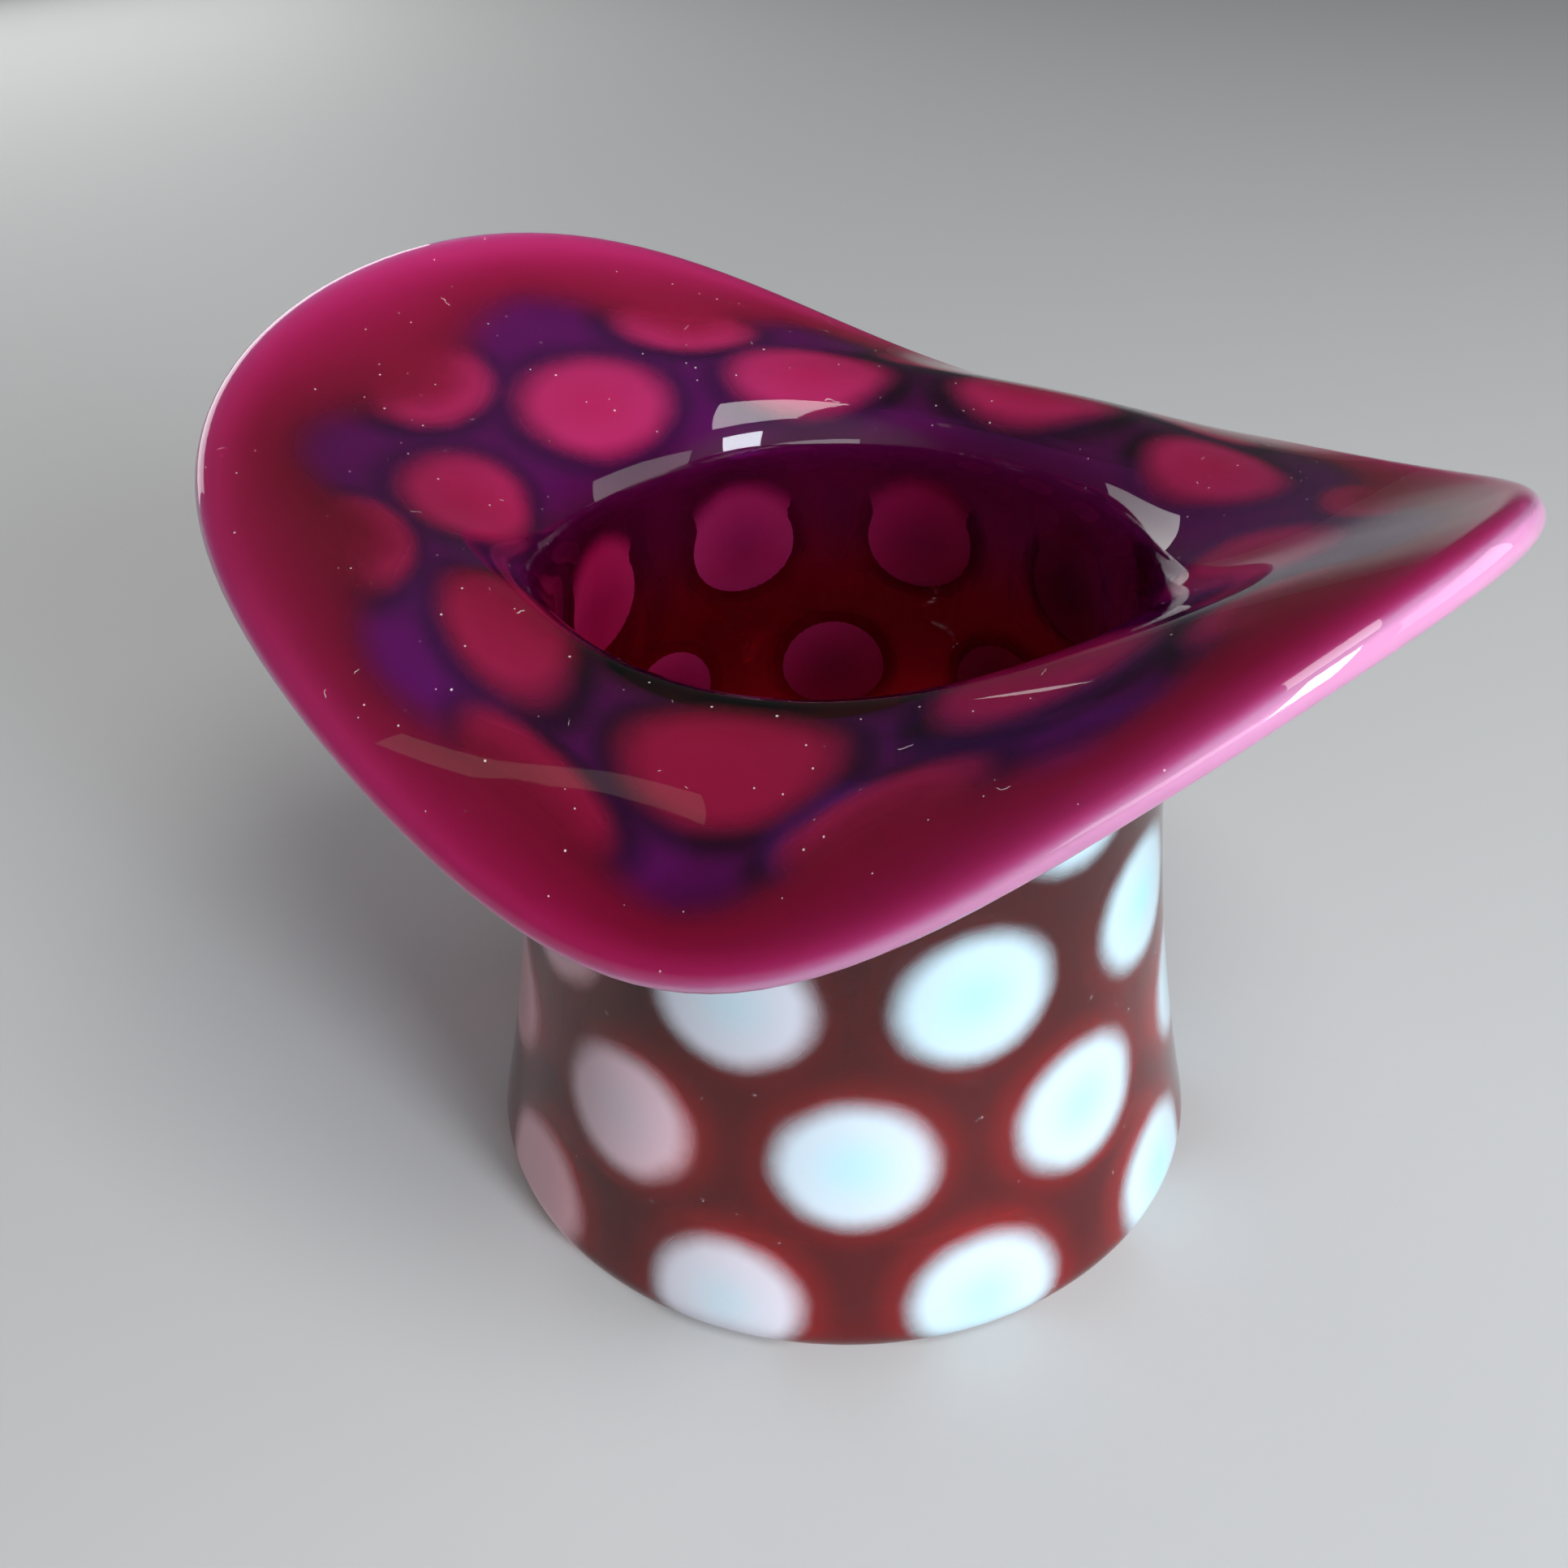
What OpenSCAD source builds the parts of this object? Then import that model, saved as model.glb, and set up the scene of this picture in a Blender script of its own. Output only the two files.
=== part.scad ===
// Blown glass hat, standing on the top of its crown.
// A ruby lining is cased in clear glass. The casing holds staggered rows of struck opal dots,
// and a struck opal band runs along the edge of the brim, which was shaped by hand while soft.
// Origin at the middle of the foot, +Z up, the two turned-up ends of the brim along X. Millimetres.

/* [Crown] */
// Radius of the crown wall, carried down to the plane of the foot
foot_r = 34.9; // [32:0.1:38]
// Radius of the crown at its waist
waist_r = 28.2; // [26:0.1:31]
// Height of the waist above the foot
waist_z = 57; // [48:0.5:62]
// Height at which the wall starts to turn out into the brim
neck_z = 58.5; // [56:0.1:61]
// Radius of the hollow under the foot
kick_r = 24; // [14:0.5:27]
// Depth of the hollow under the foot
kick_h = 1.2; // [0.4:0.1:1.5]

/* [Wall] */
// Thickness of the outer layer: clear casing, opal dots and opal band
casing_t = 2.2; // [1.7:0.1:2.8]
// Thickness of the ruby lining
lining_t = 1.4; // [1:0.1:2.2]
// Rounding of the lining's corner at the foot, which the casing carries outwards
lining_round = 0.8; // [0.4:0.1:2]
// Thickness of the ruby lining under the well
floor_t = 3.4; // [2:0.1:6]
// Rounding between the well's floor and its wall
floor_round = 6; // [3:0.5:9]

/* [Brim outline] */
// Mean reach of the rim from the axis
rim_r = 49; // [46:0.1:54]
// How much further the rim reaches along the long axis of its plan
rim_oval = 4.7; // [0:0.1:6]
// Direction of the long axis of the plan, in degrees from +X
oval_dir = 8.7; // [-20:0.1:30]
// Size of the three hand-worked lobes in the plan
lobe_r = 1; // [0:0.1:2]
// Direction of one of those lobes, in degrees
lobe_dir = -28.7; // [-60:0.1:60]
// Mean height of the rim
rim_z = 65.6; // [62:0.1:69]
// Rise of the two ends of the brim, and fall of its two sides
end_lift = 11.8; // [6:0.1:13]
// Lean of the whole rim
rim_lean = 2.9; // [0:0.1:5]
// Direction in which the rim leans up, in degrees
lean_dir = 130.8; // [90:0.1:180]
// Height of the three slow waves along the rim
wave_h = 2.5; // [0:0.1:3.5]
// Direction of one of those waves, in degrees
wave_dir = -10.3; // [-30:0.1:30]
// Height of the four shorter waves along the rim
ripple_h = 1.6; // [0:0.1:2.4]
// Direction of one of those waves, in degrees
ripple_dir = -22.9; // [-45:0.1:45]

/* [Brim section] */
// Mean slope of the brim at the rim, in degrees
rim_slope = 2; // [-4:0.5:10]
// Added slope at the turned-up ends, taken off at the sides, in degrees
end_slope = 44; // [30:0.5:48]
// Added slope on the side that leans up, in degrees
lean_slope = 16; // [0:0.5:20]
// How far the wall keeps its direction where it leaves the neck
neck_pull = 5.5; // [4:0.1:7]
// How far the brim keeps its direction where it reaches the rim
rim_pull = 9.5; // [6:0.1:11]
// How much more the brim is drawn out near the neck than near the rim, as a share
draw = 0.3; // [0.1:0.01:0.34]
// Added to that on the side that is drawn out most, and taken off on the other
draw_lean = 0.25; // [0:0.01:0.28]
// Direction of the side that is drawn out most, in degrees
draw_dir = 31; // [0:1:60]
// Added to that at the two sides, and taken off at the two turned-up ends
draw_side = 0.25; // [0:0.01:0.28]

/* [Opal dots] */
// Dots in a row
dots = 9; // [7:1:10]
// Direction of the first dot of the second row, in degrees
dot_dir = -56; // [-90:0.1:0]
// Width of a dot on the crown
dot_w = 14.8; // [11:0.1:16]
// Height of a dot on the crown
dot_h = 13; // [10:0.1:14]
// Clear glass between the edge of the flat foot and the lowest row
foot_gap = 0.4; // [0.3:0.1:1.5]
// Clear glass between rows on the crown
row_gap = 2.1; // [1:0.1:3]
// Width of a dot in the inner row on the brim
inner_dot_w = 16.8; // [13:0.1:17.5]
// Height of a dot in the inner row on the brim, along the drawn-out wall
inner_dot_h = 12.4; // [9:0.1:13]
// Width of a dot in the outer row on the brim
outer_dot_w = 14.2; // [11:0.1:16]
// Height of a dot in the outer row on the brim, along the drawn-out wall
outer_dot_h = 8.4; // [7:0.1:9]
// How far the two rows on the brim reach in between each other
nest = 1.6; // [0:0.1:2]
// How far the outer row reaches into the scalloped edge of the opal band
band_nest = 1; // [0:0.1:1.5]
// Clear glass between the outer row and the opal band
band_gap = 0.9; // [0.5:0.1:2]
// How far the neck row is turned from the rows below it, in degrees
neck_turn = 0.5; // [0:0.5:4]
// How far the inner brim row is turned, in degrees
inner_turn = 4; // [0:0.5:6]
// How far the outer brim row is turned, in degrees
outer_turn = 2; // [0:0.5:4]
// Width of the opal band along the rim
band_w = 6.6; // [5:0.1:8]
// Length along the wall over which the brim is drawn out, from neck to rim
brim_len = 30; // [27:0.1:33]

/* [Hidden] */
rows = 6;
crown_rows = 4;
wall_t = casing_t + lining_t;
floor_z = casing_t + floor_t;
foot_round = casing_t + lining_round;
// The rounded corner of the foot: how far it turns, its length and its height
round_turn = 90 - atan(crown_lean(foot_round));
round_len = foot_round * round_turn * PI / 180;
round_z = foot_round * (1 - cos(round_turn));
// Places along the wall, measured from the edge of the flat foot
neck_at = round_len + neck_z - round_z;
rim_at = neck_at + brim_len;
band_at = rim_at - band_w;
floor_at = round_len + floor_z + floor_round - round_z;
// Middle of each row of dots along the wall: the rows on the crown are set out from the foot,
// those on the brim from the opal band
outer_row_at = band_at + band_nest - band_gap - outer_dot_h / 2;
inner_row_at = outer_row_at - (outer_dot_h + inner_dot_h) / 2 + nest;
function row_at(row) =
    row < crown_rows ? foot_gap + dot_h / 2 + row * (dot_h + row_gap)
    : row == crown_rows ? inner_row_at : outer_row_at;
// A dot's cell is four columns wide and so are its two sides tall, with as many points on its outline
cell_cols = 4;
side_points = cell_cols - 1;
outline = 4 * cell_cols;
cols = dots * cell_cols;
col_step = 360 / cols;
rings = rows + 1;
// Rings of points on the inner face, along the brim and down the well
brim_rings = 13;
crown_rings = 8;
// Most that the pull at the rim may take of the brim's breadth
pull_share = 0.7;
// Half the length over which the direction of the wall is taken
slope_probe = 0.05;
// Radius of the bowed hollow under the foot, and the angle its cut takes up, carried on past the foot
kick_ball = (kick_r * kick_r + kick_h * kick_h) / (2 * kick_h);
kick_angle = 1.2 * asin(kick_r / kick_ball);
kick_steps = 6;
dot_names = [for (row = [1 : rows]) str("opal_dots_row_", row)];

// Section of the wall: [radius, height] on its outer face, at a place along it and in a direction
function crown_r(z) = waist_r + (foot_r - waist_r) * pow((waist_z - z) / waist_z, 2);
function crown_lean(z) = -2 * (foot_r - waist_r) * (waist_z - z) / (waist_z * waist_z);
function corner(s) =
    let (a = round_turn * s / round_len)
    [crown_r(round_z) - foot_round * (sin(round_turn) - sin(a)), foot_round * (1 - cos(a))];
function rim_reach(a) = rim_r + rim_oval * cos(2 * (a - oval_dir)) + lobe_r * cos(3 * (a - lobe_dir));
function rim_height(a) =
    rim_z + end_lift * cos(2 * a) + rim_lean * cos(a - lean_dir)
    + wave_h * cos(3 * (a - wave_dir)) + ripple_h * cos(4 * (a - ripple_dir));
function slope(a) = rim_slope + end_slope * cos(2 * a) + lean_slope * cos(a - lean_dir);
function bezier(p, u) =
    pow(1 - u, 3) * p[0] + 3 * u * pow(1 - u, 2) * p[1] + 3 * u * u * (1 - u) * p[2] + pow(u, 3) * p[3];
function brim(u, a) =
    let (
        along = [cos(slope(a)), sin(slope(a))],
        up = [-along[1], along[0]],
        start = [crown_r(neck_z), neck_z],
        leave = [crown_lean(neck_z), 1] / norm([crown_lean(neck_z), 1]),
        end = [rim_reach(a), rim_height(a)] - (along + up) * wall_t / 2,
        pull = min(rim_pull, pull_share * norm(end - start))
    )
    bezier([start, start + neck_pull * leave, end - pull * along, end], u);
function drawn(t, a) = t + (draw + draw_lean * cos(a - draw_dir) - draw_side * cos(2 * a)) * t * (1 - t);
function outer_face(s, a) =
    s < round_len ? corner(s)
    : s < neck_at ? let (z = round_z + s - round_len) [crown_r(z), z]
    : brim(drawn((s - neck_at) / brim_len, a), a);
function heading(s, a) =
    let (d = outer_face(s + slope_probe, a) - outer_face(s - slope_probe, a)) d / norm(d);

// Points in space
function spun(p, a) = [p[0] * cos(a), p[0] * sin(a), p[1]];
function turn(s) =
    lookup(s, [[row_at(2), 0], [row_at(3), neck_turn], [row_at(4), inner_turn], [row_at(5), outer_turn]]);
function wall(s, a, depth) =
    let (b = a + turn(s), t = heading(s, b)) spun(outer_face(s, b) + depth * [-t[1], t[0]], b);
// The rim is half round: 0 degrees is its outer face and 180 its inner face
function rim_edge(a, roll) =
    let (b = a + turn(rim_at), t = heading(rim_at, b), up = [-t[1], t[0]])
    spun(outer_face(rim_at, b) + up * wall_t / 2 + (t * sin(roll) - up * cos(roll)) * wall_t / 2, b);
join_roll = acos(1 - 2 * casing_t / wall_t);

// Cells of the dot pattern: rings of points between the rows, points on the sides of the cells, and the dots
function row_col(row) = row % 2 == 0 ? cell_cols / 2 : 0;
function dot_half_w(row) = (row < crown_rows ? dot_w : row == crown_rows ? inner_dot_w : outer_dot_w) / 2;
function dot_half_h(row) = (row < crown_rows ? dot_h : row == crown_rows ? inner_dot_h : outer_dot_h) / 2;
function half_way(ring) = (row_at(ring - 1) + dot_half_h(ring - 1) + row_at(ring) - dot_half_h(ring)) / 2;
// The ring between crown and brim stays above the neck, so that the cells on the brim follow its turn
function ring_mid(ring) =
    ring == 0 ? 0 : ring == rows ? band_at
    : ring == crown_rows ? max(neck_at, half_way(ring)) : half_way(ring);
function ring_wave(ring) = ring == rows ? band_nest : ring == rows - 1 ? (nest + row_gap) / 2 : 0;
function col_angle(col) = dot_dir + col * col_step;
function ring_at(ring, col) =
    ring_mid(ring) + ring_wave(ring) * cos(360 * (col - row_col(ring - 1)) / cell_cols);
function ring_point(ring, col, depth) = wall(ring_at(ring, col), col_angle(col), depth);
function side_col(row, dot) = row_col(row) + cell_cols * dot + cell_cols / 2;
// The sides of the lowest cells start with short steps, to follow the rounded corner of the foot
function side_share(row, step) = pow((step + 1) / cell_cols, row == 0 ? 1.3 : 1);
function side_point(row, dot, step, depth) =
    let (col = side_col(row, dot), k = side_share(row, step))
    wall(ring_at(row, col) * (1 - k) + ring_at(row + 1, col) * k, col_angle(col), depth);
function dot_angle(row, dot) = col_angle(row_col(row) + cell_cols * dot);
function dot_reach(row, dot) = outer_face(row_at(row), dot_angle(row, dot) + turn(row_at(row)))[0];
function dot_point(row, dot, step, depth) =
    let (
        t = 360 * step / outline,
        spread = dot_half_w(row) / dot_reach(row, dot) * 180 / PI
    )
    wall(row_at(row) + dot_half_h(row) * sin(t), dot_angle(row, dot) + spread * cos(t), depth);
// The middle point of a dot in the lowest row lies on the rounded corner, which the dot wraps
function middle_at(row) = row == 0 ? max(round_len / 2, row_at(row) - dot_half_h(row) / 2) : row_at(row);
function dot_middle(row, dot, depth) = wall(middle_at(row), dot_angle(row, dot), depth);

// One face of the pattern as a list of points, and the numbers of its points
function pattern_points(depth) = [
    for (ring = [0 : rows], col = [0 : cols - 1]) ring_point(ring, col, depth),
    for (row = [0 : rows - 1], dot = [0 : dots - 1], step = [0 : side_points - 1])
        side_point(row, dot, step, depth),
    for (row = [0 : rows - 1], dot = [0 : dots - 1], step = [0 : outline - 1]) dot_point(row, dot, step, depth),
    for (row = [0 : rows - 1], dot = [0 : dots - 1]) dot_middle(row, dot, depth)
];
first_side = rings * cols;
first_dot = first_side + rows * dots * side_points;
first_middle = first_dot + rows * dots * outline;
pattern_size = first_middle + rows * dots;
function ring_n(ring, col) = ring * cols + (col + cols) % cols;
function side_n(row, dot, step) = first_side + (row * dots + (dot + dots) % dots) * side_points + step;
function dot_n(row, dot, step) = first_dot + (row * dots + dot) * outline + step % outline;
function middle_n(row, dot) = first_middle + row * dots + dot;
// Points round a cell, from the middle of its right side and anticlockwise seen from outside
function cell_outline(row, dot) =
    let (c = row_col(row) + cell_cols * dot, half = cell_cols / 2)
    [
        for (step = [half - 1 : side_points - 1]) side_n(row, dot, step),
        for (k = [half : -1 : -half]) ring_n(row + 1, c + k),
        for (step = [side_points - 1 : -1 : 0]) side_n(row, dot - 1, step),
        for (k = [-half : half]) ring_n(row, c + k),
        for (step = [0 : 1 : half - 2]) side_n(row, dot, step)
    ];

// Triangles, clockwise seen from outside the glass
function flipped(faces) = [for (f = faces) [f[2], f[1], f[0]]];
function shifted(faces, n) = [for (f = faces) [f[0] + n, f[1] + n, f[2] + n]];
function quad(a, b, c, d) = [[a, b, c], [a, c, d]];
function strip(lower, upper) = [
    for (i = [0 : cols - 1])
        let (next = (i + 1) % cols) each quad(lower + next, lower + i, upper + i, upper + next)
];
function disc(first) = [for (i = [1 : cols - 2]) [first, first + i, first + i + 1]];
// The quads round a dot are split so that no diagonal runs far along the wall
function web_faces() = [
    for (row = [0 : rows - 1], dot = [0 : dots - 1])
        let (cell = cell_outline(row, dot))
        for (k = [0 : outline - 1])
            let (a = cell[k], b = dot_n(row, dot, k), c = dot_n(row, dot, k + 1), d = cell[(k + 1) % outline])
            each floor(k / cell_cols) % 2 == 0 ? quad(a, b, c, d) : quad(b, c, d, a)
];
function dot_faces() = [
    for (row = [0 : rows - 1], dot = [0 : dots - 1], k = [0 : outline - 1])
        [dot_n(row, dot, k + 1), dot_n(row, dot, k), middle_n(row, dot)]
];
function pocket_faces() = [
    for (row = [0 : rows - 1], dot = [0 : dots - 1], k = [0 : outline - 1])
        let (a = dot_n(row, dot, k), b = dot_n(row, dot, k + 1))
        each quad(b, a, a + pattern_size, b + pattern_size)
];

// Rings of points round the brim, the well and its floor
function across_band(share, depth) = [
    for (col = [0 : cols - 1])
        wall(ring_at(rows, col) * (1 - share) + rim_at * share, col_angle(col), depth)
];
function round_rim(roll) = [for (col = [0 : cols - 1]) rim_edge(col_angle(col), roll)];
function well_ring(s) = [for (col = [0 : cols - 1]) wall(s, col_angle(col), wall_t)];
function floor_ring(a) = [
    for (p = well_ring(floor_at))
        let (r = norm([p[0], p[1]]), k = 1 - floor_round * (1 - sin(a)) / r)
        [p[0] * k, p[1] * k, floor_z + (p[2] - floor_z) * (1 - cos(a))]
];
function band_rings() = concat(
    [across_band(0, casing_t), across_band(0.5, casing_t)],
    [for (k = [3 : -1 : 0]) round_rim(join_roll * k / 3)],
    [across_band(0.5, 0), across_band(0, 0)]
);
function well_rings() = concat(
    [across_band(0.5, casing_t)],
    [for (k = [0 : 2]) round_rim(join_roll + (180 - join_roll) * k / 2)],
    [for (k = [1 : brim_rings]) well_ring(rim_at - brim_len * k / brim_rings)],
    [for (k = [1 : crown_rings]) well_ring(neck_at + (floor_at - neck_at) * k / crown_rings)],
    [for (a = [60, 30, 0]) floor_ring(a)]
);
function joined(lists) = [for (list = lists) each list];

module ruby_lining() {
    well = well_rings();
    last = len(well) - 1;
    color("#8e0f3a")
        polyhedron(
            points = concat(pattern_points(casing_t), joined(well)),
            faces = concat(
                disc(0),
                web_faces(),
                dot_faces(),
                strip(ring_n(rows, 0), pattern_size),
                [for (k = [0 : last - 1]) each strip(pattern_size + k * cols, pattern_size + (k + 1) * cols)],
                flipped(disc(pattern_size + last * cols))
            )
        );
}

module clear_casing() {
    color("#c9a8b6")
        difference() {
            polyhedron(
                points = concat(pattern_points(0), pattern_points(casing_t)),
                faces = concat(
                    disc(0),
                    web_faces(),
                    pocket_faces(),
                    strip(ring_n(rows, 0), ring_n(rows, 0) + pattern_size),
                    flipped(shifted(web_faces(), pattern_size)),
                    flipped(shifted(disc(0), pattern_size))
                )
            );
            foot_hollow();
        }
}

module foot_hollow() {
    rotate_extrude($fn = cols)
        polygon([
            [0, -kick_h],
            for (k = [kick_steps : -1 : 0])
                let (a = kick_angle * k / kick_steps)
                [kick_ball * sin(a), kick_h - kick_ball * (1 - cos(a))]
        ]);
}

module opal_dots(row) {
    face_size = outline + 1;
    color("#eef4f6")
        polyhedron(
            points = [
                for (dot = [0 : dots - 1], depth = [0, casing_t])
                    each concat(
                        [for (step = [0 : outline - 1]) dot_point(row, dot, step, depth)],
                        [dot_middle(row, dot, depth)]
                    )
            ],
            faces = [
                for (dot = [0 : dots - 1], k = [0 : outline - 1])
                    let (
                        front = 2 * dot * face_size,
                        back = front + face_size,
                        next = (k + 1) % outline
                    )
                    each concat(
                        [[front + next, front + k, front + outline], [back + k, back + next, back + outline]],
                        quad(front + next, back + next, back + k, front + k)
                    )
            ]
        );
}

module opal_rim_band() {
    band = band_rings();
    count = len(band);
    color("#d9a0c4")
        polyhedron(
            points = joined(band),
            faces = [for (k = [0 : count - 1]) each flipped(strip(k * cols, (k + 1) % count * cols))]
        );
}

ruby_lining();
clear_casing();
for (row = [0 : rows - 1]) opal_dots(row);
opal_rim_band();
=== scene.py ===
"""Blown glass hat that stands on its crown: ruby lining, clear casing, opal dots and an opal rim."""

import logging
import math
import random
from dataclasses import dataclass
from enum import Enum
from functools import cached_property
from typing import Callable

import bmesh
import bpy
from bmesh.types import BMesh
from bpy.types import Material, Node, NodeSocket, ShaderNodeTree
from mathutils import Matrix, Vector


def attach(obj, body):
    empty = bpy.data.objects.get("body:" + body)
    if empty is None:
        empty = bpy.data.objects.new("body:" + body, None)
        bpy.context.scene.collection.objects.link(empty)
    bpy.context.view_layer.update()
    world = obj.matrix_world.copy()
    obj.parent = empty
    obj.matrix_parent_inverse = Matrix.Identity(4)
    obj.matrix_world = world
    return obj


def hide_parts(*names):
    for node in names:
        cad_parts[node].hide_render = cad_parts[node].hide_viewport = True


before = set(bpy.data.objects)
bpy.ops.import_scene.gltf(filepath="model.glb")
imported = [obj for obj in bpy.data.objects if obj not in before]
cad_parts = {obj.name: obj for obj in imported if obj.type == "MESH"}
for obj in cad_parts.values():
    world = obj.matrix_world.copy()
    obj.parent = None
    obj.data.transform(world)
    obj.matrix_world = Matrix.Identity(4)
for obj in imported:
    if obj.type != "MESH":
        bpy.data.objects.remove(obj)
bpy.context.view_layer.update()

LOG = logging.getLogger("glass_hat")
MM = 0.001
BODY = "root"
MERGE_DIST = 1e-7
CLEAR_BOUNCES = 32
GLASS_BOUNCES = 20
Section = list[tuple[float, float, float]]
Colour = tuple[float, float, float]
Haze = tuple[float, float, float, float]
Span = tuple[float, float]
Place = Callable[[float, float, float, float], Vector]


class Opal(Enum):
    """The three ways in which the opal was struck."""

    CROWN = "opal_crown_glass"
    BRIM = "opal_brim_glass"
    RIM = "opal_rim_glass"


class Socket(Enum):
    """What a socket of a node group carries."""

    VALUE = "NodeSocketFloat"
    COLOUR = "NodeSocketColor"


def clamped(t: float) -> float:
    """A value held between 0 and 1."""
    return min(1.0, max(0.0, t))


def eased(t: float) -> float:
    """A smooth step from 0 to 1."""
    t = clamped(t)
    return t * t * (3 - 2 * t)


def steps(low: float, high: float, count: int) -> list[float]:
    """Even steps from low to high, both ends included."""
    return [low + (high - low) * k / count for k in range(count + 1)]


def towards(a: float, side: float, power: float) -> float:
    """How far a direction looks to one side of the hat.

    Args:
        a: direction in radians.
        side: the side in degrees.
        power: how fast the value falls.

    Returns:
        1 on that side, down to 0 on the far one.
    """
    return (0.5 + 0.5 * math.cos(a - math.radians(side))) ** power


@dataclass(frozen=True)
class HatForm:
    """Sizes of the blown form in millimetres and degrees, and the surface that they give."""

    foot_r: float = 34.9
    waist_r: float = 28.2
    waist_z: float = 57.0
    neck_z: float = 58.5
    kick_r: float = 24.0
    kick_h: float = 1.2
    casing_t: float = 2.2
    lining_t: float = 1.4
    lining_round: float = 0.8
    floor_t: float = 3.4
    floor_round: float = 6.0
    rim_r: float = 49.0
    rim_oval: float = 4.7
    oval_dir: float = 8.7
    lobe_r: float = 1.0
    lobe_dir: float = -28.7
    rim_z: float = 65.6
    end_lift: float = 11.8
    rim_lean: float = 2.9
    lean_dir: float = 130.8
    wave_h: float = 2.5
    wave_dir: float = -10.3
    ripple_h: float = 1.6
    ripple_dir: float = -22.9
    rim_slope: float = 2.0
    end_slope: float = 44.0
    lean_slope: float = 16.0
    neck_pull: float = 5.5
    rim_pull: float = 9.5
    pull_share: float = 0.7
    draw: float = 0.3
    draw_lean: float = 0.25
    draw_dir: float = 31.0
    draw_side: float = 0.25
    brim_len: float = 30.0
    brim_lining_t: float = 1.1
    brim_thin_len: float = 10.0
    rim_lining_t: float = 0.9
    rim_thin_len: float = 4.0
    rim_ease: float = 0.26

    @cached_property
    def wall_t(self) -> float:
        """Thickness of the whole wall."""
        return self.casing_t + self.lining_t

    @cached_property
    def foot_round(self) -> float:
        """Rounding between the foot and the crown wall."""
        return self.casing_t + self.lining_round

    @cached_property
    def floor_z(self) -> float:
        """Height of the well's floor."""
        return self.casing_t + self.floor_t

    @cached_property
    def round_turn(self) -> float:
        """How far the rounded corner of the foot turns, in radians."""
        return math.pi / 2 - math.atan(self.crown_lean(self.foot_round))

    @cached_property
    def round_len(self) -> float:
        """Length of the rounded corner."""
        return self.foot_round * self.round_turn

    @cached_property
    def round_z(self) -> float:
        """Height of the rounded corner."""
        return self.foot_round * (1 - math.cos(self.round_turn))

    @cached_property
    def flat_r(self) -> float:
        """Radius of the flat foot."""
        return self.crown_r(self.round_z) - self.foot_round * math.sin(self.round_turn)

    @cached_property
    def neck_at(self) -> float:
        """Place of the neck along the wall, from the edge of the flat foot."""
        return self.round_len + self.neck_z - self.round_z

    @cached_property
    def rim_at(self) -> float:
        """Place of the rim along the wall."""
        return self.neck_at + self.brim_len

    @cached_property
    def floor_at(self) -> float:
        """Place along the wall at which the well turns into its floor."""
        return self.round_len + self.floor_z + self.floor_round - self.round_z

    def fuse(self, s: float) -> float:
        """Depth at which casing and lining are fused: the lining thins on the brim and at the rim.

        Args:
            s: place along the wall.

        Returns:
            Distance in from the outer face.
        """
        out = eased((s - self.neck_at) / self.brim_thin_len)
        near = clamped(1 - (self.rim_at - s) / self.rim_thin_len)
        brim = (self.lining_t - self.brim_lining_t) * out
        return self.casing_t + brim + (self.brim_lining_t - self.rim_lining_t) * near * near

    def fuse_roll(self, depth: float) -> float:
        """Angle round the half-round rim at which a depth comes to its skin, in radians."""
        return math.acos(1 - 2 * depth / self.wall_t)

    def over(self, first: float, last: float, count: int, gap: float) -> Section:
        """Section over the half-round rim.

        Args:
            first: angle at which it starts, in radians from the outer face.
            last: angle at which it ends.
            count: number of steps.
            gap: distance in from the skin.

        Returns:
            Its points.
        """
        r = self.wall_t / 2 - gap
        rolls = steps(first, last, count)
        return [(self.rim_at + r * math.sin(a), self.wall_t / 2 - r * math.cos(a), 0.0) for a in rolls]

    def crown_r(self, z: float) -> float:
        """Radius of the crown's outer face at a height."""
        return self.waist_r + (self.foot_r - self.waist_r) * ((self.waist_z - z) / self.waist_z) ** 2

    def crown_lean(self, z: float) -> float:
        """Change of the crown's radius with height."""
        return -2 * (self.foot_r - self.waist_r) * (self.waist_z - z) / self.waist_z**2

    def rim_end(self, a: float) -> tuple[float, float, float]:
        """The hand-shaped rim.

        Args:
            a: direction in radians.

        Returns:
            Reach, height and slope in radians.
        """
        reach = self.rim_r - self.rim_ease
        reach += self.rim_oval * math.cos(2 * (a - math.radians(self.oval_dir)))
        reach += self.lobe_r * math.cos(3 * (a - math.radians(self.lobe_dir)))
        lean = math.cos(a - math.radians(self.lean_dir))
        height = self.rim_z - self.rim_ease / 2
        height += self.end_lift * math.cos(2 * a) + self.rim_lean * lean
        height += self.wave_h * math.cos(3 * (a - math.radians(self.wave_dir)))
        height += self.ripple_h * math.cos(4 * (a - math.radians(self.ripple_dir)))
        slope = self.rim_slope + self.end_slope * math.cos(2 * a) + self.lean_slope * lean
        return reach, height, math.radians(slope)

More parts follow.
